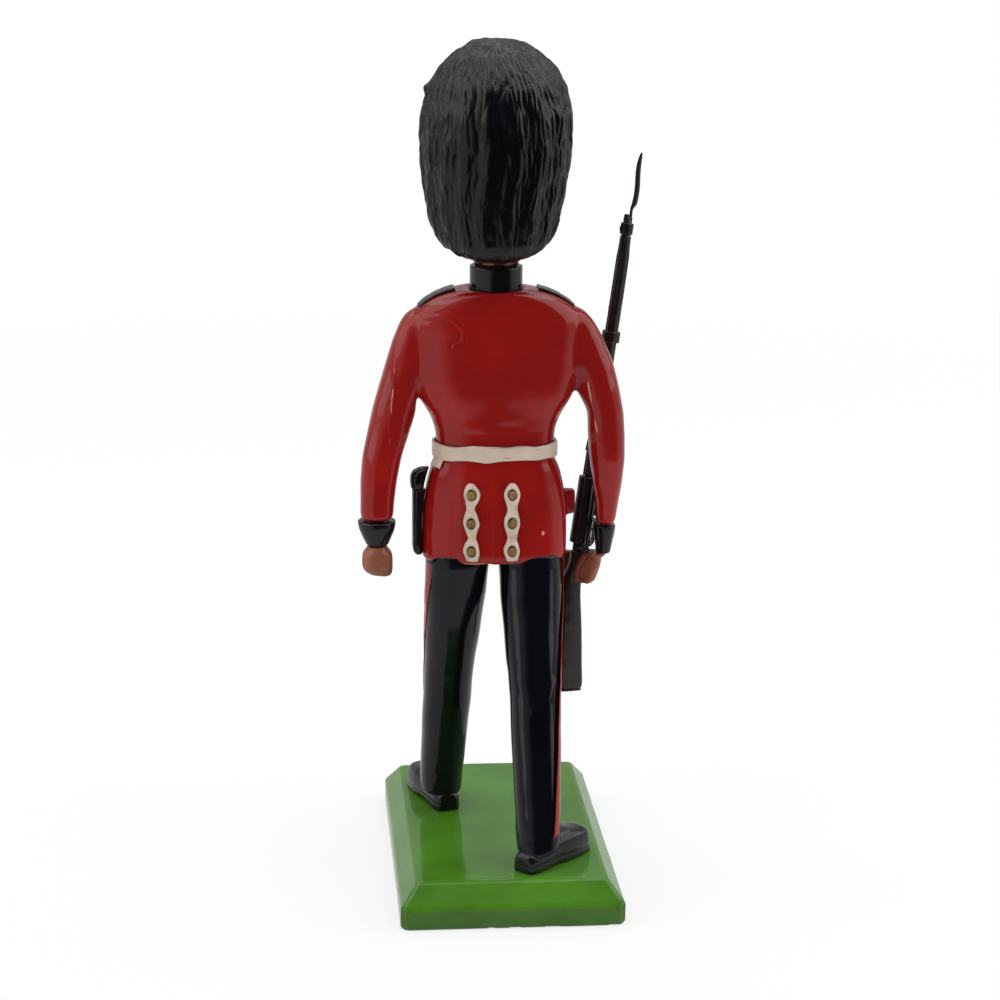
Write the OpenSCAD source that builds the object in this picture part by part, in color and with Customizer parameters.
// Toy guardsman in a bearskin cap, marching with a rifle held upright at the right side.
// Millimetres. Origin at the middle of the base's underside, +Y the way the figure marches, +Z up.

/* [Base] */
// Width of the base, across the figure
base_w = 18; // [17:0.5:22]
// Length of the base, along the march
base_l = 30; // [29:0.5:36]
// Height of the upright wall
base_wall_h = 1.8; // [1.4:0.1:3]
// Height of the bevel above the wall
base_bevel_h = 1.8; // [1.4:0.1:3]
// Run of the bevel in from the wall
base_bevel_w = 1.4; // [0.8:0.1:1.6]
// Plan radius of the wall's corners
base_corner_r = 1; // [0.6:0.1:1.4]

/* [Stance] */
// Figure's centre plane, left of the base's middle
figure_shift = 0.7; // [0:0.1:1]
// Figure's axis, behind the base's middle
figure_setback = 1.5; // [0.8:0.1:2.2]
// Left ankle ahead of the figure's axis
left_stride = 5.4; // [4.5:0.1:6.5]
// Right ankle behind the figure's axis
right_stride = 9.2; // [7:0.1:9.5]
// Left ankle out from the centre plane
left_ankle_out = 3.95; // [3.4:0.05:4.4]
// Right ankle out from the centre plane
right_ankle_out = 3.05; // [2.4:0.05:3.4]
// Left foot turned out, degrees
left_toe_out = 16; // [5:1:25]
// Right foot turned out, degrees
right_toe_out = 43; // [30:1:50]

/* [Boots] */
// Heel to toe
boot_l = 8.1; // [7.6:0.1:8.6]
// Width across the tread
boot_w = 3.1; // [2.6:0.1:3.4]
// Height of the instep
boot_h = 2.6; // [2.2:0.1:2.8]
// Back of the heel to the ankle
heel_l = 2.2; // [2:0.1:2.5]
// Foot stud diameter
foot_stud_d = 1.6; // [1.2:0.1:1.8]
// Foot stud length, in the base
foot_stud_l = 2; // [1.4:0.1:2.4]
// Diameter of the pegs that join ankle and boot
ankle_peg_d = 1; // [0.8:0.1:1.2]
// Length of the pegs that join ankle and boot
ankle_peg_l = 0.7; // [0.5:0.05:0.8]

/* [Legs] */
// Base top to the tunic's hem
leg_h = 23.5; // [22:0.1:25]
// Width of a leg under the hem
leg_w = 5.3; // [4.8:0.1:5.4]
// Depth of a leg under the hem, front to back
leg_d = 5.5; // [5:0.1:5.7]
// Hip out from the centre plane
hip_out = 3; // [2.9:0.05:3.1]
// Height of the trouser bottom above the base at the ankle
ankle_h = 2.1; // [1.7:0.05:2.3]
// Slope of the trouser bottom, higher over the instep, degrees
trouser_break = 12; // [6:1:16]
// Hip peg diameter
hip_peg_d = 1.8; // [1.4:0.1:2.2]
// Hip peg length
hip_peg_l = 2.4; // [1.6:0.1:3]
// Width of the outer-seam stripe
stripe_w = 0.85; // [0.6:0.05:1]

/* [Tunic] */
// Hem to the belt's lower edge
skirt_h = 8.5; // [7.6:0.1:9.4]
// Belt's upper edge to the root of the neck
chest_h = 12.45; // [11.8:0.05:13.2]
// Width at the hem
hem_w = 11.8; // [11.6:0.1:12]
// Depth at the hem
hem_d = 6.1; // [5.9:0.1:6.6]
// Width at the waist
waist_w = 9.6; // [9.2:0.1:10.2]
// Depth at the waist
waist_d = 5.4; // [5:0.1:5.8]
// Full width of the chest, before the arm seams cut it
chest_w = 13.9; // [13.7:0.1:14.4]
// Depth of the chest
chest_d = 6.7; // [6.2:0.1:7.2]
// Distance between the two flat arm seams
seam_w = 13.1; // [12.9:0.1:13.3]
// Width of the shoulders at the root of the neck
neck_w = 5.4; // [5:0.1:6]
// Root of the neck down to the shoulder pivots
shoulder_drop = 4.2; // [4:0.05:4.4]
// Depth of the lug that steadies the rifle
lug_d = 1.1; // [0.8:0.1:1.4]
// Height of the lug
lug_h = 2.2; // [1.8:0.1:2.6]

/* [Tunic trim] */
// Belt height
belt_h = 1.4; // [1.2:0.05:1.8]
// Belt thickness
belt_t = 0.26; // [0.22:0.01:0.4]
// Width of the belt buckle
buckle_w = 2; // [1.6:0.1:2.4]
// Thickness of the belt buckle
buckle_t = 0.3; // [0.2:0.05:0.4]
// Width of the skirt slashes
lace_w = 1.45; // [1.2:0.05:1.7]
// Slash centre line out from the centre plane
lace_out = 1.65; // [1.5:0.05:2]
// Back vent, left of the centre plane
vent_shift = 0.45; // [0:0.05:0.6]
// Height of the skirt slashes
lace_h = 6.4; // [5.6:0.1:7]
// Thickness of the lace that lies on the cloth
lace_t = 0.22; // [0.15:0.01:0.3]
// Button diameter
button_d = 0.85; // [0.7:0.05:1]
// Buttons on each slash
slash_buttons = 3; // [2:1:4]
// Buttons down the front
chest_buttons = 7; // [5:1:8]
// Width of a shoulder strap, front to back
strap_w = 1.9; // [1.5:0.1:2]
// Thickness of a shoulder strap
strap_t = 0.38; // [0.25:0.01:0.5]
// Collar height above the root of the neck
collar_h = 1.8; // [1.5:0.05:1.9]
// Collar outside diameter
collar_d = 4.25; // [4.1:0.05:4.5]
// Collar wall
collar_wall = 0.4; // [0.3:0.05:0.45]
// Depth of the collar's seat in the tunic
collar_seat = 0.8; // [0.6:0.1:1]

/* [Bayonet frog] */
// Length of the scabbard below the frog
scabbard_l = 5.4; // [4.5:0.1:5.6]
// Scabbard thickness out from the hem
scabbard_t = 0.75; // [0.6:0.05:0.9]
// Scabbard width, front to back
scabbard_w = 1.5; // [1.2:0.1:1.8]
// Height of the frog
frog_h = 1.8; // [1.4:0.1:2]

/* [Head] */
// Chin to the front rim of the cap
face_h = 4.4; // [4:0.1:4.8]
// Width of the head
head_w = 5.1; // [4.8:0.1:5.4]
// Depth of the head, brow to nape
head_d = 5.8; // [5.4:0.1:6.2]
// Neck diameter inside the collar
neck_d = 3.25; // [3:0.05:3.3]
// Neck plug diameter
neck_plug_d = 2.4; // [2:0.1:2.6]
// Neck plug length
neck_plug_l = 3.6; // [2.8:0.1:4]
// Crown plug diameter
crown_plug_d = 2.4; // [2:0.1:2.8]
// Crown plug length above the face rim
crown_plug_l = 3; // [2.4:0.1:4]
// Height of the chin chain's links
chain_h = 0.45; // [0.35:0.05:0.55]

/* [Bearskin] */
// Height of the cap from its side rim to the crown
bearskin_h = 15.65; // [14.5:0.1:17]
// Width of the cap
bearskin_w = 12.4; // [11.6:0.1:13]
// Depth of the cap, front to back
bearskin_d = 12.8; // [12:0.1:13.4]
// Middle of the cap's rim, left of the neck
rim_left = 0.24; // [0:0.02:0.5]
// Middle of the crown, right of the neck
crown_right = 0.1; // [0:0.02:0.5]
// Middle of the crown, ahead of the neck
crown_ahead = 0.35; // [0:0.05:0.6]
// Depth of the carved fur between locks
fur_d = 0.16; // [0.08:0.01:0.22]
// Carved locks round the cap
fur_locks = 18; // [14:1:22]

/* [Arms] */
// Left shoulder pivot to the cuff's lower edge
left_arm_l = 16.6; // [16.2:0.1:17.2]
// Right shoulder pivot to the cuff's lower edge
right_arm_l = 18.3; // [17.8:0.1:18.8]
// Widest part of a sleeve, side to side
arm_w = 3.5; // [3.3:0.05:3.7]
// Deepest part of a sleeve, front to back
arm_d = 3.8; // [3.5:0.05:4]
// Left cuff out from the arm seam
left_reach = 3.1; // [2.9:0.05:3.3]
// Right cuff out from the arm seam
right_reach = 2.75; // [2.6:0.05:2.9]
// Shoulder stud diameter
stud_d = 2; // [1.6:0.1:2.4]
// Shoulder stud length
stud_l = 2.6; // [2:0.1:2.8]
// Wrist peg diameter
wrist_peg_d = 0.8; // [0.6:0.05:0.9]
// Left fist, wrist to knuckles
left_hand_l = 2.45; // [2.3:0.05:2.9]
// Left fist width
left_hand_w = 2.55; // [2.3:0.05:2.8]
// Left fist depth
left_hand_d = 2.5; // [2.2:0.05:2.8]
// Right fist, wrist to knuckles
right_hand_l = 2.5; // [2.3:0.05:2.8]
// Right fist width
right_hand_w = 2; // [1.8:0.05:2.2]
// Right fist depth
right_hand_d = 2.6; // [2.4:0.05:2.8]
// Finger thickness round the rifle
finger_d = 0.62; // [0.5:0.02:0.62]

/* [Rifle] */
// Small of the butt to the end of the wood
butt_l = 10.2; // [9.4:0.1:11]
// Small of the butt to the nose of the fore-end
fore_l = 29.4; // [28:0.1:30.5]
// Height of the wood at the small of the butt
stock_w = 1.3; // [1.15:0.05:1.4]
// Thickness of the wood
stock_t = 1; // [0.85:0.05:1.05]
// Lean of the rifle out to the right, degrees
rifle_lean = 7.9; // [7:0.1:8.4]
// Lean of the muzzle forward, degrees
rifle_pitch = 2.5; // [2:0.1:3]
// Turn of the rifle's underside from the right to the front, degrees
rifle_roll = 35; // [30:1:40]
// Barrel diameter
barrel_d = 0.48; // [0.4:0.02:0.52]
// Receiver diameter
receiver_d = 1.3; // [1.2:0.02:1.4]
// Receiver length
receiver_l = 5.6; // [4.8:0.1:6]
// Barrel beyond the nose of the fore-end
muzzle_l = 0.5; // [0.4:0.05:0.8]
// Magazine length along the rifle
magazine_l = 2.1; // [1.8:0.1:2.4]
// Magazine depth below the wood
magazine_h = 0.6; // [0.5:0.05:0.65]
// Trigger guard length
guard_l = 2.6; // [2.4:0.1:2.8]
// Trigger guard depth below the wood
guard_h = 0.65; // [0.55:0.05:0.7]
// Wall of the trigger guard, bands and butt plate
metal_t = 0.12; // [0.1:0.01:0.16]
// Width of a band along the rifle
band_l = 0.9; // [0.7:0.05:1.2]
// Bayonet blade length
blade_l = 5.5; // [4.6:0.1:6]
// Bayonet blade width at its root
blade_w = 0.5; // [0.4:0.02:0.6]

/* [Fits] */
// Radial clearance of plugs, pegs and studs in their bores
fit_gap = 0.05; // [0.03:0.01:0.08]
// Clearance between painted pieces that lie on each other
skin_gap = 0.07; // [0.05:0.01:0.1]
// Clearance at the flat arm seams and the neck
seam_gap = 0.15; // [0.12:0.01:0.2]
// Clearance between the lug and the rifle
lug_gap = 0.3; // [0.25:0.01:0.4]

/* [Hidden] */
$fn = 48;

// How far a cut runs past the face it opens
overrun = 0.5;

// Levels, from the ground up
base_h = base_wall_h + base_bevel_h;
hem_z = base_h + leg_h;
belt_z = hem_z + skirt_h;
belt_top_z = belt_z + belt_h;
neck_z = belt_top_z + chest_h;
collar_z = neck_z - collar_seat;
collar_top_z = neck_z + collar_h;
chin_z = collar_top_z + seam_gap;
shoulder_z = neck_z - shoulder_drop;
face_rim_z = chin_z + face_h;

// Places in plan
figure_x = -figure_shift;
figure_y = -figure_setback;
seam_x = seam_w / 2;

// Smooth curve through the rows of a table whose first column is the key
function row_of(rows, key, i = 0) =
    (i + 2 >= len(rows) || key < rows[i + 1][0]) ? i : row_of(rows, key, i + 1);
function slope_of(rows, i) =
    let (a = rows[max(i - 1, 0)], b = rows[min(i + 1, len(rows) - 1)]) (b - a) / (b[0] - a[0]);
function curve_at(rows, key) =
    let (i = row_of(rows, key), a = rows[i], b = rows[i + 1], w = b[0] - a[0])
    let (u = min(max((key - a[0]) / w, 0), 1), v = 1 - u)
    a * (1 + 2 * u) * v * v + slope_of(rows, i) * w * u * v * v
    + b * (3 - 2 * u) * u * u - slope_of(rows, i + 1) * w * u * u * v;
// Keys of the table with each interval cut in equal steps
function keys_of(rows, steps) = [
    for (i = [0 : len(rows) - 2], k = [0 : steps - 1]) lerp(rows[i][0], rows[i + 1][0], k / steps),
    rows[len(rows) - 1][0]
];

function lerp(a, b, share) = a + (b - a) * share;
function spow(v, p) = sign(v) * pow(abs(v), p);
function bump(d, width) = exp(-d * d / (width * width));
function middle(ring) =
    let (ones = [for (p = ring) 1], n = len(ring)) [for (k = [0 : 2]) [for (p = ring) p[k]] * ones / n];
// Rounded oval with its own front and back depth
function oval_point(t, a, front, back, power) =
    [a * spow(cos(t), 2 / power), (sin(t) > 0 ? front : back) * spow(sin(t), 2 / power)];
// Depth of such an oval at a given x
function oval_depth(x, a, depth, power) =
    depth * pow(max(1 - pow(min(abs(x) / a, 1), power), 0), 1 / power);

// Closed solid through rings of equal point counts, each anticlockwise seen from the last ring's side
module loft(rings) {
    n = len(rings[0]);
    last = len(rings) - 1;
    foot = n * (last + 1);
    head = foot + 1;
    points = [for (ring = rings) each ring, middle(rings[0]), middle(rings[last])];
    sides = [for (i = [0 : last - 1], k = [0 : n - 1]) let (a = i * n, b = a + n, j = (k + 1) % n)
        each [[a + k, b + j, a + j], [a + k, b + k, b + j]]];
    foot_cap = [for (k = [0 : n - 1]) [foot, k, (k + 1) % n]];
    head_cap = [for (k = [0 : n - 1]) [head, last * n + (k + 1) % n, last * n + k]];
    polyhedron(points, concat(sides, foot_cap, head_cap), convexity = 6);
}

// Solid between two point grids, such as a strip that lies on a surface, or a closed band
module slab(outer, inner, closed = false) {
    r = len(outer);
    c = len(outer[0]);
    o = function (i, j) i * c + j % c;
    n = function (i, j) (r + i) * c + j % c;
    last = closed ? c - 1 : c - 2;
    points = concat([for (row = outer) each row], [for (row = inner) each row]);
    skins = [for (i = [0 : r - 2], j = [0 : last]) each [
        [o(i, j), o(i + 1, j + 1), o(i, j + 1)], [o(i, j), o(i + 1, j), o(i + 1, j + 1)],
        [n(i, j), n(i, j + 1), n(i + 1, j + 1)], [n(i, j), n(i + 1, j + 1), n(i + 1, j)]]];
    rims = [for (j = [0 : last]) each [
        [o(0, j), o(0, j + 1), n(0, j + 1)], [o(0, j), n(0, j + 1), n(0, j)],
        [o(r - 1, j + 1), o(r - 1, j), n(r - 1, j)], [o(r - 1, j + 1), n(r - 1, j), n(r - 1, j + 1)]]];
    ends = closed ? [] : [for (i = [0 : r - 2]) each [
        [o(i + 1, 0), o(i, 0), n(i, 0)], [o(i + 1, 0), n(i, 0), n(i + 1, 0)],
        [o(i, c - 1), o(i + 1, c - 1), n(i + 1, c - 1)], [o(i, c - 1), n(i + 1, c - 1), n(i, c - 1)]]];
    polyhedron(points, concat(skins, rims, ends), convexity = 6);
}

module at_figure(z) {
    translate([figure_x, figure_y, z]) children();
}

// Peg or bore along +Z from the origin; a bore opens below the origin
module peg(d, l) {
    cylinder(d = d, h = l);
}
module bore(d, l) {
    translate([0, 0, -overrun]) cylinder(d = d + 2 * fit_gap, h = l + overrun + fit_gap);
}

// Rectangle with rounded corners, about the origin
module rounded_plan(w, l, r) {
    square([w - 2 * r, l], center = true);
    square([w, l - 2 * r], center = true);
    for (x = [-1, 1], y = [-1, 1]) translate([x * (w / 2 - r), y * (l / 2 - r)]) circle(r);
}

// Base: an upright wall with round corners under a bevel whose corners meet in a mitre
module base() {
    w = base_w / 2;
    l = base_l / 2;
    bevel = base_bevel_w;
    corners = [[-1, -1], [1, -1], [1, 1], [-1, 1]];
    ring = function (inset, z) [for (c = corners) [c[0] * (w - inset), c[1] * (l - inset), z]];
    color("forestgreen") difference() {
        intersection() {
            linear_extrude(base_h) rounded_plan(base_w, base_l, base_corner_r);
            loft([ring(0, 0), ring(0, base_wall_h), ring(bevel, base_h)]);
        }
        for (ankle = [left_ankle, right_ankle])
            translate([ankle[0], ankle[1], base_h]) rotate([180, 0, 0]) bore(foot_stud_d, foot_stud_l);
    }
}

// Boots: slices along the foot, each a flat-bottomed arch
left_ankle = [figure_x - left_ankle_out, figure_y + left_stride];
right_ankle = [figure_x + right_ankle_out, figure_y - right_stride];
// Share of the length from the heel, of half the width, of the instep height, of the heel block below
boot_shares = [
    [0, 0.5, 0.52, 0], [0.03, 0.66, 0.63, 0], [0.1, 0.77, 0.73, 0], [0.25, 0.82, 0.82, 0],
    [0.32, 0.83, 0.86, 0.01], [0.35, 0.83, 0.88, 0.06], [0.45, 0.87, 0.97, 0.06], [0.51, 0.92, 1, 0],
    [0.64, 1, 0.96, 0], [0.76, 1, 0.9, 0], [0.87, 0.95, 0.85, 0], [0.94, 0.82, 0.75, 0],
    [0.98, 0.6, 0.58, 0], [1, 0.38, 0.38, 0]
];
// How far forward of the ankle the trouser bottom has cleared the boot, as a share of the leg depth
trouser_reach_share = 0.42;
arch_points = 11;
boot_edge_share = 0.56;

function trouser_z(forward) = ankle_h + forward * tan(trouser_break);
function boot_top(forward, h) =
    forward < leg_d * trouser_reach_share ? min(h, trouser_z(forward) - skin_gap) : h;

module boot(toe_out, ankle) {
    slices = [for (row = boot_shares)
        let (y = row[0] * boot_l - heel_l, a = row[1] * boot_w / 2)
        let (low = row[3] * boot_h, h = boot_top(y, row[2] * boot_h))
        [for (k = [0 : arch_points - 1]) let (t = 180 * k / (arch_points - 1))
            [-a * spow(cos(t), boot_edge_share), y, lerp(low, h, pow(sin(t), boot_edge_share))]]];
    color("#161618") translate([ankle[0], ankle[1], base_h]) {
        difference() {
            rotate([0, 0, toe_out]) loft(slices);
            translate([0, 0, ankle_h]) rotate([180, 0, 0]) bore(ankle_peg_d, ankle_peg_l);
        }
        rotate([180, 0, 0]) peg(foot_stud_d, foot_stud_l);
    }
}

module left_boot() {
    boot(left_toe_out, left_ankle);
}
module right_boot() {
    boot(-right_toe_out, right_ankle);
}

// Legs: share of the height from the trouser bottom to the hem, width, depth, how far the ankle still pulls
leg_shares = [
    [0, 0.67, 0.74, 1], [0.08, 0.7, 0.755, 0.93], [0.2, 0.73, 0.775, 0.81], [0.36, 0.765, 0.79, 0.65],
    [0.46, 0.775, 0.78, 0.55], [0.52, 0.785, 0.79, 0.49], [0.62, 0.835, 0.84, 0.38],
    [0.74, 0.9, 0.91, 0.25], [0.86, 0.96, 0.97, 0.12], [1, 1, 1, 0]
];
leg_sides = 28;
leg_power = 2.3;

// A point on the leg's skin: share of height, angle, distance off the skin
function leg_point(share, t, off, hip_x, ankle, toe_out) =
    let (row = curve_at(leg_shares, share), pull = row[3])
    let (a = row[1] * leg_w / 2 + off, b = row[2] * leg_d / 2 + off, p = oval_point(t, a, b, b, leg_power))
    let (forward = p[1] * cos(toe_out) - p[0] * sin(toe_out), low = pow(1 - share, 6))
    let (z = lerp(base_h + ankle_h, hem_z - skin_gap, share) + low * forward * tan(trouser_break))
    [lerp(hip_x, ankle[0], pull) + p[0], lerp(figure_y, ankle[1], pull) + p[1], z];

module leg(hip_x, ankle, toe_out) {
    rings = [for (row = leg_shares)
        [for (k = [0 : leg_sides - 1]) leg_point(row[0], 360 * k / leg_sides, 0, hip_x, ankle, toe_out)]];
    color("#101116") {
        loft(rings);
        translate([ankle[0], ankle[1], base_h + ankle_h + overrun])
            rotate([180, 0, 0]) peg(ankle_peg_d, ankle_peg_l + overrun);
        translate([hip_x, figure_y, hem_z - overrun]) peg(hip_peg_d, hip_peg_l + overrun);
    }
}

module left_leg() {
    leg(figure_x - hip_out, left_ankle, left_toe_out);
}
module right_leg() {
    leg(figure_x + hip_out, right_ankle, -right_toe_out);
}

// Outer-seam stripes run on the side of each leg, from the ankle to the hem
stripe_end_shares = [0.05, 0.97];
stripe_steps = 12;
stripe_leg_share = 0.8;
// Degrees that each stripe is turned to the rear, at the ankle and at the hem
left_stripe_turns = [-70, 32];
right_stripe_turns = [50, -12];
stripe_t = lace_t / 2;

module trouser_stripe(side, hip_x, ankle, toe_out, turns) {
    half = atan2(stripe_w, leg_w * stripe_leg_share);
    mid = side > 0 ? 0 : 180;
    grid = function (off) [for (i = [0 : stripe_steps])
        let (share = lerp(stripe_end_shares[0], stripe_end_shares[1], i / stripe_steps))
        let (seam = mid - side * lerp(turns[0], turns[1], share))
        [for (k = [-1 : 1]) leg_point(share, seam + k * half, off, hip_x, ankle, toe_out)]];
    slab(grid(skin_gap + stripe_t), grid(skin_gap));
}

module trouser_stripes() {
    color("#b02018") {
        trouser_stripe(-1, figure_x - hip_out, left_ankle, left_toe_out, left_stripe_turns);
        trouser_stripe(1, figure_x + hip_out, right_ankle, -right_toe_out, right_stripe_turns);
    }
}

// Tunic outline from hem to belt: share of the skirt height, share of the way from hem to waist
skirt_shares = [[0, 0], [0.16, -0.05], [0.48, 0.01], [0.72, 0.24], [0.88, 0.55]];
// From belt to shoulder: share of the chest height, of the way from waist to chest in width and in depth
chest_shares = [
    [0, 0, 0], [0.1, 0.06, 0.06], [0.19, 0.32, 0.3], [0.29, 0.68, 0.62], [0.44, 0.94, 0.92], [0.6, 1, 1],
    [0.74, 1, 0.97]
];
// Shoulder slope: share of the chest height, of the way from neck to chest in width, of the chest depth
shoulder_shares = [
    [0.83, 0.975, 0.92], [0.87, 0.885, 0.88], [0.9, 0.78, 0.86], [0.94, 0.6, 0.83], [0.97, 0.4, 0.8],
    [0.99, 0.18, 0.77], [1, 0, 0.74]
];
front_share = 1.04;
back_share = 0.96;
torso_power = 2.5;
torso_sides = 40;

function skirt_row(s) =
    [hem_z + s[0] * skirt_h, lerp(hem_w, waist_w, s[1]) / 2, lerp(hem_d, waist_d, s[1]) / 2];
function chest_row(s) =
    [belt_top_z + s[0] * chest_h, lerp(waist_w, chest_w, s[1]) / 2, lerp(waist_d, chest_d, s[2]) / 2];
function shoulder_row(s) =
    [belt_top_z + s[0] * chest_h, lerp(neck_w, chest_w, s[1]) / 2, s[2] * chest_d / 2];
torso_rows = concat(
    [for (s = skirt_shares) skirt_row(s)],
    [[belt_z, waist_w / 2, waist_d / 2]],
    [for (s = chest_shares) chest_row(s)],
    [for (s = shoulder_shares) shoulder_row(s)]
);

function torso_at(z) = curve_at(torso_rows, z);
// A point on the tunic round the figure's own axis: height, angle, distance off the skin
function torso_point(z, t, off) =
    let (row = torso_at(z), b = row[2])
    let (p = oval_point(t, row[1] + off, b * front_share + off, b * back_share + off, torso_power))
    [min(max(p[0], -seam_x), seam_x), p[1], z];
// Back of the tunic at a height and distance from the centre plane
function back_point(z, x, off) =
    let (row = torso_at(z)) [x, -oval_depth(x, row[1], row[2] * back_share, torso_power) - off, z];
function front_point(z, x, off) =
    let (row = torso_at(z)) [x, oval_depth(x, row[1], row[2] * front_share, torso_power) + off, z];
// Top of the shoulder at a height and distance before or behind the axis
function shoulder_point(z, y, off) =
    let (row = torso_at(z), b = row[2] * (y > 0 ? front_share : back_share))
    [min(oval_depth(y, b, row[1], torso_power), seam_x - skin_gap), y, z + off];

// The lug stands on the right of the skirt and stops short of the rifle
lug_top_share = 0.36;
lug_root_share = 0.8;
lug_y_share = 0.5;
lug_z = belt_z - skirt_h * lug_top_share - lug_h;

module lug() {
    root = torso_at(lug_z)[1] * lug_root_share;
    reach = rifle_inner_x(lug_z) - lug_gap;
    translate([root, lug_d * lug_y_share, lug_z]) cube([reach - root, lug_d, lug_h]);
}

module tunic() {
    rings = [for (row = torso_rows)
        [for (k = [0 : torso_sides - 1]) torso_point(row[0], 360 * k / torso_sides, 0)]];
    color("#b5141b") difference() {
        union() {
            at_figure(0) loft(rings);
            at_figure(0) lug();
        }
        at_figure(collar_z) cylinder(d = collar_d + 2 * fit_gap, h = collar_seat + overrun);
        at_figure(collar_z) rotate([180, 0, 0]) bore(neck_plug_d, neck_plug_l + seam_gap);
        for (side = [-1, 1]) at_figure(shoulder_z) translate([side * seam_x, 0, 0])
            rotate([0, -side * 90, 0]) bore(stud_d, stud_l + seam_gap);
        for (side = [-1, 1]) at_figure(hem_z) translate([side * hip_out, 0, 0]) bore(hip_peg_d, hip_peg_l);
    }
}

module collar() {
    bore_d = collar_d - 2 * collar_wall;
    color("#17171a") at_figure(collar_z) difference() {
        cylinder(d = collar_d, h = collar_seat + collar_h);
        translate([0, 0, -overrun]) cylinder(d = bore_d, h = collar_seat + collar_h + 2 * overrun);
    }
}

belt_sides = 40;
// A tab hangs from the belt to the frog, between two angles round the figure
tab_angles = [188, 214];
tab_steps = 4;
tab_t_share = 0.8;

module belt_tab() {
    levels = [frog_z + frog_h + skin_gap, belt_z + 2 * skin_gap];
    grid = function (off) [for (z = levels) [for (k = [0 : tab_steps])
        torso_point(z, lerp(tab_angles[0], tab_angles[1], k / tab_steps), off)]];
    slab(grid(skin_gap + belt_t * tab_t_share), grid(1.5 * skin_gap));
}

module belt() {
    levels = [belt_z + skin_gap, belt_top_z - skin_gap];
    grid = function (off) [for (z = levels)
        [for (k = [0 : belt_sides - 1]) torso_point(z, 360 * k / belt_sides, off)]];
    color("#e9dcc0") at_figure(0) {
        slab(grid(skin_gap + belt_t), grid(skin_gap), true);
        belt_tab();
    }
}

buckle_corner_share = 0.2;

module belt_buckle() {
    z = belt_z + belt_h / 2;
    r = belt_h * buckle_corner_share;
    off = belt_t + 2 * skin_gap;
    color("#c9a03c") at_figure(0) translate(front_point(z, 0, off)) rotate([-90, 0, 0])
        linear_extrude(buckle_t) rounded_plan(buckle_w, belt_h, r);
}

// Skirt slashes: pale strips with one scallop for each button
lace_steps = 18;
lace_scallop_share = 0.19;
// Places of the lowest and the highest button, as shares of the strip
lace_button_shares = [0.13, 0.86];
lace_foot_share = 0.05;
lace_z = hem_z + skirt_h * lace_foot_share;

function lace_x(side) = side * lace_out - vent_shift;
function lace_half(share) =
    let (low = lace_button_shares[0], high = lace_button_shares[1])
    let (scallop = (share - low) / (high - low) * (slash_buttons - 1))
    lace_w / 2 * (1 - lace_scallop_share * (1 - cos(360 * scallop)));
function button_z(k) =
    lace_z + lace_h * lerp(lace_button_shares[0], lace_button_shares[1], k / (slash_buttons - 1));

module skirt_slash(side) {
    grid = function (off) [for (i = [0 : lace_steps]) let (share = i / lace_steps, half = lace_half(share))
        [for (k = [-1 : 1]) back_point(lace_z + lace_h * share, lace_x(side) + k * half, off)]];
    slab(grid(skin_gap + lace_t), grid(skin_gap));
}

module skirt_lace() {
    color("#ead9c6") at_figure(0) for (side = [-1, 1]) skirt_slash(side);
}

// Domed button on the XY plane
dome_share = 0.36;
rim_share = 0.12;

module button() {
    r = button_d / 2;
    rotate_extrude() polygon(concat([[0, 0], [r, 0]],
        [for (a = [0 : 15 : 90]) [r * cos(a), button_d * (rim_share + dome_share * sin(a))]]));
}

module skirt_buttons() {
    color("#c9a03c") at_figure(0) for (side = [-1, 1], k = [0 : slash_buttons - 1])
        translate(back_point(button_z(k), lace_x(side), 2 * skin_gap + lace_t)) rotate([90, 0, 0]) button();
}

chest_button_shares = [0.1, 0.83];

module front_buttons() {
    color("#c9a03c") at_figure(0) for (k = [0 : chest_buttons - 1]) {
        share = lerp(chest_button_shares[0], chest_button_shares[1], k / (chest_buttons - 1));
        z = belt_top_z + chest_h * share;
        slope = front_point(z - button_d / 2, 0, 0)[1] - front_point(z + button_d / 2, 0, 0)[1];
        translate(front_point(z, 0, 2 * skin_gap)) rotate([atan2(slope, button_d) - 90, 0, 0]) button();
    }
}

// Shoulder straps lie on the slope between collar and arm seam
strap_shares = [0.99, 0.97, 0.94, 0.9, 0.865];
strap_steps = 6;

module shoulder_strap() {
    across = [for (k = [0 : strap_steps]) lerp(-strap_w / 2, strap_w / 2, k / strap_steps)];
    grid = function (off) [for (s = strap_shares)
        [for (y = across) shoulder_point(belt_top_z + s * chest_h, y, off)]];
    slab(grid(skin_gap + strap_t), grid(skin_gap));
}

module shoulder_straps() {
    color("#17171a") at_figure(0) {
        shoulder_strap();
        mirror([1, 0, 0]) shoulder_strap();
    }
}

// Frog and scabbard on the left hip: share of the height, of the way out from the skirt, half width
scabbard_shares = [
    [0, 0.66, 0.7], [0.05, 0.9, 0.9], [0.14, 1, 1], [0.32, 1, 1], [0.5, 1, 1], [0.68, 1, 1], [0.85, 1, 1],
    [1, 1, 1]
];
frog_shares = [
    [0, 1.04, 1.04], [0.3, 1.1, 1.14], [0.6, 1.08, 1.1], [0.82, 0.9, 0.86], [0.95, 0.6, 0.56], [1, 0.3, 0.3]
];
hip_sides = 20;
frog_top_share = 0.09;
frog_z = belt_z - skirt_h * frog_top_share - frog_h;
scabbard_z = frog_z - skin_gap - scabbard_l;
hip_back_share = 0.25;
hip_power = 2.6;

// Outer side of frog and scabbard, out from the centre plane; the inner side follows the skirt
hip_reach = torso_at(scabbard_z)[1] + 2 * skin_gap + scabbard_t;

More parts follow.
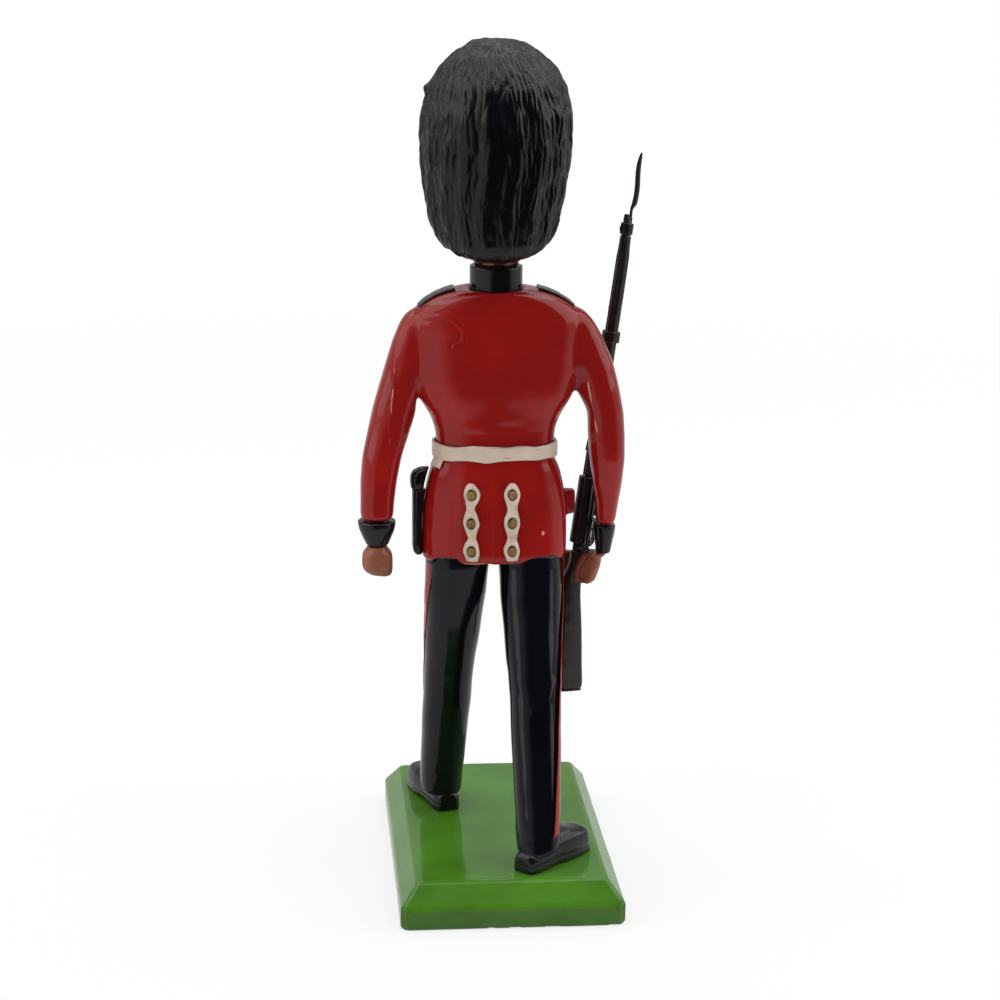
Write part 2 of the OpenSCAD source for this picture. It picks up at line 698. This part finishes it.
module hip_piece(rows, z, l) {
    rings = [for (row = rows) [for (k = [0 : hip_sides - 1])
        let (level = z + row[0] * l, inner = torso_at(level)[1] + 2 * skin_gap)
        let (a = row[1] * (hip_reach - inner) / 2, b = row[2] * scabbard_w / 2)
        let (p = oval_point(360 * k / hip_sides, a, b, b, hip_power))
        [p[0] - inner - a, p[1] - scabbard_w * hip_back_share, level]]];
    at_figure(0) loft(rings);
}

module bayonet_frog() {
    color("#1b1b1d") hip_piece(frog_shares, frog_z, frog_h);
}
module bayonet_scabbard() {
    color("#141416") hip_piece(scabbard_shares, scabbard_z, scabbard_l);
}

// Head: share of the face height, half width, front and back depth as shares of half the head's size
head_shares = [
    [0, 0.69, 0.6, 0.6], [0.04, 0.74, 0.8, 0.63], [0.12, 0.83, 0.98, 0.69], [0.25, 0.9, 0.985, 0.77],
    [0.45, 0.95, 0.97, 0.86], [0.68, 0.985, 0.97, 0.93], [1, 1, 1, 0.97]
];
head_sides = 36;
head_steps = 14;
// Rim of the cap: drop at the sides and nape below the brow, as shares of the face height
rim_tilt_share = 0.42;
rim_bow_share = 0.1;

// Height of the cap's rim round the head, with the brow at 90 degrees
function rim_z(t) = face_rim_z - face_h * (rim_tilt_share * (1 - sin(t)) + rim_bow_share * cos(t) * cos(t));
// Calm, even features: height share, angle from the nose, spread in height and angle, depth share
face_shares = [
    [0.5, 0, 0.16, 11, 0.13], [0.34, 0, 0.075, 10, 0.24], [0.36, 11, 0.05, 7, 0.07],
    [0.36, -11, 0.05, 7, 0.07], [0.74, 24, 0.09, 15, -0.1], [0.74, -24, 0.09, 15, -0.1],
    [0.87, 20, 0.06, 22, 0.07], [0.87, -20, 0.06, 22, 0.07], [0.2, 0, 0.035, 17, 0.07],
    [0.135, 0, 0.03, 14, 0.06], [0.03, 0, 0.06, 17, 0.07],
    [0.52, 92, 0.16, 8, 0.16], [0.52, -92, 0.16, 8, 0.16]
];

function face_relief(share, t) =
    [for (f = face_shares) f[4] * bump(share - f[0], f[2]) * bump(t - 90 - f[1], f[3])]
    * [for (f = face_shares) head_d / 2];
// A point on the head: height, angle, distance off the skin
function head_point(z, t, off) =
    let (share = (z - chin_z) / face_h, row = curve_at(head_shares, share), r = head_d / 2)
    let (p = oval_point(t, row[1] * head_w / 2, row[2] * r, row[3] * r, 2.1))
    let (relief = face_relief(share, t) + off)
    [p[0] + relief * cos(t), p[1] + relief * sin(t), z];
function head_ring(share, off) = [for (k = [0 : head_sides - 1]) let (t = 360 * k / head_sides)
    head_point(lerp(chin_z, rim_z(t) - skin_gap, share), t, off)];

module head() {
    neck_low = collar_z + seam_gap;
    rim_mid_z = middle(head_ring(1, 0))[2];
    color("#c79a7a") at_figure(0) {
        loft([for (i = [0 : head_steps]) head_ring(i / head_steps, 0)]);
        translate([0, 0, neck_low]) peg(neck_d, chin_z + seam_gap - neck_low);
        translate([0, 0, collar_z - neck_plug_l]) peg(neck_plug_d, neck_plug_l + seam_gap + overrun);
        translate([0, 0, rim_mid_z - overrun]) peg(crown_plug_d, crown_plug_l + overrun);
    }
}

// Curb chain from rim to rim round the chin, a row of bulging links
chain_links = 22;
chain_span = 170;
chain_low_share = 0.1;
chain_waist_share = 0.6;
chain_edge_share = 0.5;
chain_t = chain_h / 2;

module chin_chain() {
    steps = chain_links * 2;
    grid = function (base, swell) [for (row = [-1 : 1]) [for (i = [0 : steps])
        let (t = 90 + chain_span * (i / steps - 0.5), level = pow(cos(t), 2))
        let (link = i % 2 == 1 ? 1 : chain_waist_share, half = chain_h / 2 * link * row)
        let (z = lerp(chin_z + face_h * chain_low_share, rim_z(t) - chain_h, level) + half)
        head_point(z, t, base + swell * link * (row == 0 ? 1 : chain_edge_share))]];
    color("#c9a03c") at_figure(0) slab(grid(skin_gap, chain_t), grid(skin_gap, 0));
}

// Bearskin: share of the cap height, of half the width, how far the rim's tilt still shows
bearskin_shares = [
    [-0.015, 0.62, 1], [0.01, 0.745, 0.98], [0.06, 0.83, 0.92], [0.13, 0.88, 0.8], [0.24, 0.93, 0.62],
    [0.37, 0.98, 0.42], [0.52, 1, 0.25], [0.65, 0.98, 0.14], [0.765, 0.9, 0.07], [0.85, 0.765, 0.03],
    [0.92, 0.59, 0], [0.968, 0.39, 0], [0.994, 0.16, 0]
];
bearskin_sides = 60;
side_rim_z = rim_z(0);

function lock_wave(share, t) = cos(fur_locks * t + 60 * sin(540 * share) + 40 * sin(3 * t));
function bearskin_point(share, t) =
    let (row = curve_at(bearskin_shares, share), lift = (rim_z(t) - side_rim_z) * row[2])
    let (carve = fur_d * (lock_wave(share, t) - 1) * min(row[1] * 2, 1))
    let (a = row[1] * bearskin_w / 2 + carve, b = row[1] * bearskin_d / 2 + carve)
    let (right = lerp(-rim_left, crown_right, share), ahead = crown_ahead * share)
    [a * cos(t) + right, b * sin(t) + ahead, side_rim_z + share * bearskin_h + lift];

module bearskin() {
    turns = [for (k = [0 : bearskin_sides - 1]) 360 * k / bearskin_sides];
    seat = [for (t = turns) head_point(rim_z(t), t, 0)];
    fur = [for (row = bearskin_shares) [for (t = turns) bearskin_point(row[0], t)]];
    rim_mid_z = middle(seat)[2];
    color("#131314") at_figure(0) difference() {
        loft(concat([seat], fur));
        translate([0, 0, rim_mid_z - skin_gap]) bore(crown_plug_d, crown_plug_l);
    }
}

// Arms, drawn for the right side: share of the arm length below the pivot, of the reach beyond the seam,
// of half the sleeve width, of the arm length forward, of half the sleeve depth
left_arm_shares = [
    [-1, 0.993, 0.77, -0.094, 0.73], [-0.872, 1, 0.78, -0.088, 0.745], [-0.79, 0.985, 0.795, -0.08, 0.77],
    [-0.68, 0.945, 0.86, -0.067, 0.8], [-0.57, 0.855, 0.93, -0.05, 0.85], [-0.455, 0.69, 1, -0.03, 0.9],
    [-0.34, 0.555, 0.98, -0.015, 0.94], [-0.23, 0.4, 0.95, -0.005, 0.98], [-0.11, 0.2, 0.96, 0, 1],
    [0, 0.07, 0.88, 0, 0.96], [0.075, 0.015, 0.69, 0, 0.82], [0.105, 0, 0.56, 0, 0.7],
    [0.132, 0, 0.36, 0, 0.5], [0.147, 0, 0.14, 0, 0.28]
];
right_arm_shares = [
    [-1, 0.96, 0.44, 0.085, 0.66], [-0.858, 0.99, 0.46, 0.055, 0.69], [-0.76, 1, 0.55, 0.03, 0.75],
    [-0.65, 0.98, 0.7, -0.005, 0.8], [-0.541, 0.94, 0.845, -0.03, 0.84], [-0.432, 0.91, 0.87, -0.036, 0.87],
    [-0.322, 0.86, 0.87, -0.032, 0.9], [-0.213, 0.65, 0.97, -0.022, 0.95], [-0.104, 0.42, 1.05, -0.008, 1],
    [0, 0.16, 1, 0, 0.97], [0.072, 0.035, 0.78, 0, 0.82], [0.098, 0.015, 0.6, 0, 0.7],
    [0.122, 0, 0.38, 0, 0.5], [0.136, 0, 0.15, 0, 0.28]
];
arm_sides = 24;
left_cuff_share = 0.872;
right_cuff_share = 0.858;
// Cuff width at its top and bottom, as shares of the sleeve end
left_cuff_shares = [1.15, 0.86];
right_cuff_shares = [1.1, 1.0];

// Where the seam plane cuts a sleeve ring, the ring keeps the arc outside it and closes along the seam
whole_arc = 180 * (1 - 1 / arm_sides);
arm_power = 2.15;
function arm_arc(inset) = inset <= -1 ? whole_arc : min(whole_arc, acos(spow(inset, arm_power / 2)));
function arm_ring(rows, share, l, reach, swell) =
    let (row = curve_at(rows, share), a = row[2] * arm_w / 2 * swell, b = row[4] * arm_d / 2 * swell)
    let (arc = arm_arc((seam_gap - row[1] * reach) / a))
    [for (k = [0 : arm_sides - 1]) let (turn = arc * (2 * k / (arm_sides - 1) - 1))
        let (p = oval_point(turn, a, b, b, arm_power))
        [max(seam_x + row[1] * reach + p[0], seam_x + seam_gap), row[3] * l + p[1], share * l]];
function arm_centre(rows, share, l, reach) =
    let (row = curve_at(rows, share)) [seam_x + row[1] * reach, row[3] * l, share * l];

module at_shoulder(side) {
    at_figure(shoulder_z) mirror([side < 0 ? 1 : 0, 0, 0]) children();
}

// The wrist peg runs from the hand up through the cuff into the sleeve, along the forearm
peg_rise_share = 1.45;

module wrist_peg(rows, cuff_share, l, reach, d) {
    foot = arm_centre(rows, -1, l, reach);
    run = arm_centre(rows, -cuff_share, l, reach) - foot;
    translate(foot) rotate([0, acos(run[2] / norm(run)), atan2(run[1], run[0])])
        translate([0, 0, -overrun]) cylinder(d = d, h = norm(run) * peg_rise_share + overrun);
}

module sleeve(side, rows, cuff_share, l, reach) {
    keys = [for (row = rows) if (row[0] > -cuff_share) row[0]];
    color("#b5141b") at_shoulder(side) {
        difference() {
            loft([for (key = concat([-cuff_share], keys)) arm_ring(rows, key, l, reach, 1)]);
            wrist_peg(rows, cuff_share, l, reach, wrist_peg_d + 2 * fit_gap);
        }
        translate([seam_x + seam_gap + overrun, 0, 0]) rotate([0, -90, 0])
            peg(stud_d, stud_l + seam_gap + overrun);
    }
}

cuff_steps = 4;

module cuff(side, rows, cuff_share, l, reach, swells) {
    low = -1;
    high = -cuff_share - skin_gap / l;
    color("#17171a") at_shoulder(side) difference() {
        loft([for (i = [0 : cuff_steps]) arm_ring(rows, lerp(low, high, i / cuff_steps), l, reach,
            lerp(swells[1], swells[0], sqrt(i / cuff_steps)))]);
        wrist_peg(rows, cuff_share, l, reach, wrist_peg_d + 2 * fit_gap);
    }
}

module left_sleeve() {
    sleeve(-1, left_arm_shares, left_cuff_share, left_arm_l, left_reach);
}
module left_cuff() {
    cuff(-1, left_arm_shares, left_cuff_share, left_arm_l, left_reach, left_cuff_shares);
}
module right_sleeve() {
    sleeve(1, right_arm_shares, right_cuff_share, right_arm_l, right_reach);
}
module right_cuff() {
    cuff(1, right_arm_shares, right_cuff_share, right_arm_l, right_reach, right_cuff_shares);
}

// Fist: share of the hand length up from the knuckles, half width, half depth
fist_shares = [
    [0, 0.35, 0.4], [0.06, 0.66, 0.7], [0.2, 0.92, 0.93], [0.45, 1, 1], [0.7, 0.93, 0.93],
    [0.9, 0.72, 0.76], [1, 0.66, 0.7]
];
fist_sides = 20;
fingers = 4;
knuckle_share = 0.05;

module fist(w, d, l) {
    rings = [for (key = keys_of(fist_shares, 2)) let (row = curve_at(fist_shares, key))
        [for (k = [0 : fist_sides - 1]) let (t = 360 * k / fist_sides)
            let (ripple = 1 + knuckle_share * cos(fingers * 360 * key) * bump(key - 0.4, 0.4))
            let (a = row[1] * w / 2, b = row[2] * d / 2 * ripple, p = oval_point(t, a, b, b, 2.4))
            [p[0], p[1], (key - 1) * l]]];
    loft(rings);
}

module left_hand() {
    wrist = arm_centre(left_arm_shares, -1, left_arm_l, left_reach);
    color("#b98a63") at_shoulder(-1) {
        translate([wrist[0], wrist[1], wrist[2] - skin_gap]) fist(left_hand_w, left_hand_d, left_hand_l);
        wrist_peg(left_arm_shares, left_cuff_share, left_arm_l, left_reach, wrist_peg_d);
    }
}

// Rifle: its own frame has the small of the butt at the origin, +Z to the muzzle, +X to the underside
grip_drop_share = 0.72;
grip_in_share = 1.13;
grip_forward = 0.45;
right_wrist = arm_centre(right_arm_shares, -1, right_arm_l, right_reach);
grip = right_wrist + [-right_hand_w * grip_in_share, grip_forward, -right_hand_l * grip_drop_share];

module at_rifle() {
    at_shoulder(1) translate(grip) rotate([-rifle_pitch, rifle_lean, 0])
        rotate([0, 0, rifle_roll]) children();
}
// Inner side of the receiver at a height, out from the figure's centre plane
function rifle_inner_x(z) =
    let (axis_x = grip[0] + (z - shoulder_z - grip[2]) * tan(rifle_lean))
    axis_x + (barrel_x * cos(rifle_roll) - receiver_d / 2) / cos(rifle_lean);

// Stock: share of the butt or fore-end length, centre, half width, half thickness
butt_shares = [
    [-1, 0.9, 0.73, 0.58], [-0.95, 0.87, 0.73, 0.62], [-0.5, 0.46, 0.62, 0.56], [-0.2, 0.16, 0.53, 0.49]
];
fore_shares = [
    [0, 0.03, 0.49, 0.46], [0.07, 0.07, 0.49, 0.48], [0.14, 0.16, 0.53, 0.6], [0.24, 0.13, 0.49, 0.58],
    [0.3, 0.06, 0.395, 0.5], [0.66, 0.05, 0.37, 0.47], [0.957, 0.04, 0.35, 0.45], [0.96, 0.045, 0.26, 0.34],
    [0.985, 0.05, 0.25, 0.33], [1, 0.08, 0.2, 0.27]
];
stock_rows = concat(
    [for (s = butt_shares) [s[0] * butt_l, s[1] * stock_w, s[2] * stock_w, s[3] * stock_t]],
    [for (s = fore_shares) [s[0] * fore_l, s[1] * stock_w, s[2] * stock_w, s[3] * stock_t]]
);
stock_sides = 16;
function stock_ring(z, grow) =
    let (row = curve_at(stock_rows, z), a = row[2] + grow, b = row[3] + grow)
    [for (k = [0 : stock_sides - 1]) let (p = oval_point(360 * k / stock_sides, a, b, b, 3.2))
        [row[1] + p[0], p[1], z]];

// Barrel and receiver lie along the stock's upper edge
barrel_x_share = 0.14;
barrel_x = -stock_w * barrel_x_share;
receiver_start_share = 0.085;
receiver_z = fore_l * receiver_start_share;
barrel_z = receiver_z + receiver_l;
bolt_stem_share = 0.12;
bolt_stem = receiver_l * bolt_stem_share;

// The wood is grooved for the barrel and cut down to a bed for receiver and bolt
module rifle_stock() {
    bed_z = receiver_z - bolt_stem - skin_gap;
    bed_l = barrel_z + skin_gap - bed_z;
    color("#231a16") at_rifle() difference() {
        loft([for (row = stock_rows) stock_ring(row[0], 0)]);
        translate([barrel_x, 0, barrel_z - overrun]) cylinder(d = barrel_d + 2 * fit_gap, h = fore_l);
        translate([barrel_x, 0, bed_z]) cylinder(d = receiver_d + 2 * fit_gap, h = bed_l);
    }
}

module rifle_barrel() {
    color("#2b2c2e") at_rifle() translate([barrel_x, 0, barrel_z + skin_gap])
        cylinder(d = barrel_d, h = fore_l + muzzle_l - barrel_z - skin_gap);
}

bolt_d_share = 0.5;
bolt_depth_share = 0.4;
bolt_d = receiver_d * bolt_d_share;
bolt_l = bolt_stem + receiver_l * bolt_depth_share;

module rifle_receiver() {
    color("#303134") at_rifle() translate([barrel_x, 0, receiver_z]) difference() {
        cylinder(d = receiver_d, h = receiver_l);
        bore(bolt_d, bolt_l - bolt_stem);
    }
}

handle_d_share = 0.7;
handle_l_share = 0.8;
knob_share = 0.5;

module rifle_bolt() {
    handle_l = receiver_d * handle_l_share;
    handle_d = bolt_d * handle_d_share;
    color("#55575a") at_rifle() translate([barrel_x, 0, receiver_z - bolt_stem]) {
        cylinder(d = bolt_d, h = bolt_l);
        translate([0, 0, bolt_stem / 2]) rotate([90, 0, 0]) cylinder(d = handle_d, h = handle_l);
        translate([0, -handle_l, bolt_stem / 2]) sphere(d = receiver_d * knob_share);
    }
}

// Underside of the wood at a place along the rifle
function under_x(z) = let (row = curve_at(stock_rows, z)) row[1] + row[2];
guard_z_share = 0.07;
guard_z = fore_l * guard_z_share;
magazine_z = guard_z + guard_l + skin_gap;
guard_width_share = 0.5;
magazine_width_share = 0.62;
magazine_taper_share = 0.3;

module under_plate(width) {
    rotate([90, 0, 0]) translate([0, 0, -width / 2]) linear_extrude(width) children();
}

module rifle_magazine() {
    top = under_x(magazine_z + magazine_l / 2) + skin_gap;
    end_z = magazine_z + magazine_l;
    low = top + magazine_h;
    taper = magazine_h * magazine_taper_share;
    color("#26272a") at_rifle() under_plate(stock_t * magazine_width_share)
        polygon([[top, magazine_z], [low, magazine_z + taper], [low - taper, end_z], [top, end_z]]);
}

module guard_outline(inset) {
    r = guard_h - inset;
    low = guard_z + r + inset;
    high = guard_z + guard_l - r - inset;
    translate([0, low]) square([r, high - low]);
    for (z = [low, high]) intersection() {
        translate([0, z]) circle(r);
        translate([0, guard_z]) square([guard_h, guard_l]);
    }
}

module trigger_guard() {
    top = under_x(guard_z + guard_l / 2) + skin_gap;
    width = stock_t * guard_width_share;
    color("#303134") at_rifle() translate([top, 0, 0]) under_plate(width) difference() {
        guard_outline(0);
        intersection() {
            guard_outline(metal_t);
            translate([metal_t, guard_z]) square([guard_h, guard_l]);
        }
    }
}

trigger_place_share = 0.52;
trigger_length_share = 0.5;

module rifle_trigger() {
    top = under_x(guard_z + guard_l / 2) + 2 * skin_gap + metal_t;
    z = guard_z + guard_l * trigger_place_share;
    l = (guard_h - metal_t) * trigger_length_share;
    color("#55575a") at_rifle() under_plate(stock_t * guard_width_share / 2)
        polygon([[top, z], [top + l, z + metal_t], [top + l, z + 2 * metal_t], [top, z + 2 * metal_t]]);
}

// Two bands: the lower one and the nose cap
band_shares = [0.66, 0.9625];

module band_outline(z, grow) {
    polygon([for (p = stock_ring(z, grow)) [p[0], p[1]]]);
    translate([barrel_x, 0]) circle(d = barrel_d + 2 * grow);
}

module rifle_band(z) {
    middle = z + band_l / 2;
    translate([0, 0, z]) linear_extrude(band_l) difference() {
        band_outline(middle, fit_gap + metal_t);
        band_outline(middle, fit_gap);
    }
}

module rifle_bands() {
    color("#6d6f70") at_rifle() for (s = band_shares) rifle_band(s * fore_l);
}

rear_sight_shares = [0.35, 0.41];
sight_h_share = 0.4;

// The rear sight lies on the barrel, the front blade stands on the nose cap
module rifle_sights() {
    top = barrel_x - barrel_d / 2 - fit_gap;
    cap_top = top - metal_t - fit_gap;
    h = barrel_d * sight_h_share;
    rear = fore_l * rear_sight_shares;
    cap_z = fore_l * band_shares[1];
    color("#303134") at_rifle() {
        under_plate(barrel_d) polygon([[top, rear[0]], [top, rear[1]], [top - h, rear[0]]]);
        under_plate(metal_t)
            polygon([[cap_top, cap_z], [cap_top, cap_z + band_l], [cap_top - h, cap_z + band_l / 2]]);
    }
}

module butt_plate() {
    end = stock_ring(-butt_l, 0);
    lowered = function (drop) [for (p = end) p - [0, 0, drop]];
    color("#3a3b3d") at_rifle() loft([lowered(skin_gap + metal_t), lowered(skin_gap)]);
}

// Bayonet: a muzzle ring, a crosspiece and a blade below the barrel's line
blade_x_share = 0.32;
blade_shares = [
    [0, 1, 1], [0.12, 1, 1], [0.6, 0.95, 0.95], [0.86, 0.78, 0.8], [0.96, 0.5, 0.55], [1, 0.16, 0.25]
];
blade_sides = 12;
blade_power = 1.6;
cross_l_share = 0.9;

module bayonet() {
    x = stock_w * blade_x_share;
    cross_l = blade_w * cross_l_share;
    z = fore_l + skin_gap;
    ring_r = barrel_d / 2 + fit_gap + metal_t;
    blade_t = blade_w / 2;
    root_z = z + cross_l / 2;
    rings = [for (s = blade_shares) [for (k = [0 : blade_sides - 1])
        let (a = s[1] * blade_w / 2, b = s[2] * blade_t / 2)
        let (p = oval_point(360 * k / blade_sides, a, b, b, blade_power))
        [x + p[0], p[1], lerp(root_z, z + blade_l, s[0])]]];
    color("#4a4c4e") at_rifle() difference() {
        union() {
            translate([barrel_x, 0, z]) cylinder(r = ring_r, h = cross_l);
            translate([barrel_x, -blade_t / 2, z]) cube([x + blade_w / 2 - barrel_x, blade_t, cross_l]);
            loft(rings);
        }
        translate([barrel_x, 0, z]) bore(barrel_d, cross_l + overrun);
    }
}

// Right fist: a palm outside the small of the butt and fingers curled round its front
finger_pitch_share = 0.92;
grip_hole_share = 0.52;
finger_clear = 0.12;
palm_in_share = 0.42;
finger_start = -60;
finger_sweep = 145;

module right_hand() {
    grip_r = stock_w * grip_hole_share + finger_clear;
    pitch = finger_d * finger_pitch_share;
    palm = right_wrist - [right_hand_w * palm_in_share, 0, skin_gap];
    color("#b98a63") {
        difference() {
            at_shoulder(1) translate(palm) fist(right_hand_w, right_hand_d, right_hand_l);
            at_rifle() translate([0, 0, -butt_l]) cylinder(r = grip_r, h = butt_l + fore_l);
        }
        at_shoulder(1) wrist_peg(right_arm_shares, right_cuff_share, right_arm_l, right_reach, wrist_peg_d);
        at_rifle() for (k = [0 : fingers - 1]) translate([0, 0, (k - (fingers - 1) / 2) * pitch])
            rotate([0, 0, finger_start]) rotate_extrude(angle = finger_sweep)
                translate([grip_r + finger_d / 2, 0]) circle(d = finger_d);
    }
}

base();
left_boot();
right_boot();
left_leg();
right_leg();
trouser_stripes();
tunic();
collar();
belt();
belt_buckle();
skirt_lace();
skirt_buttons();
front_buttons();
shoulder_straps();
bayonet_frog();
bayonet_scabbard();
head();
chin_chain();
bearskin();
left_sleeve();
left_cuff();
left_hand();
right_sleeve();
right_cuff();
right_hand();
rifle_stock();
rifle_barrel();
rifle_receiver();
rifle_bolt();
rifle_magazine();
trigger_guard();
rifle_trigger();
rifle_bands();
rifle_sights();
butt_plate();
bayonet();
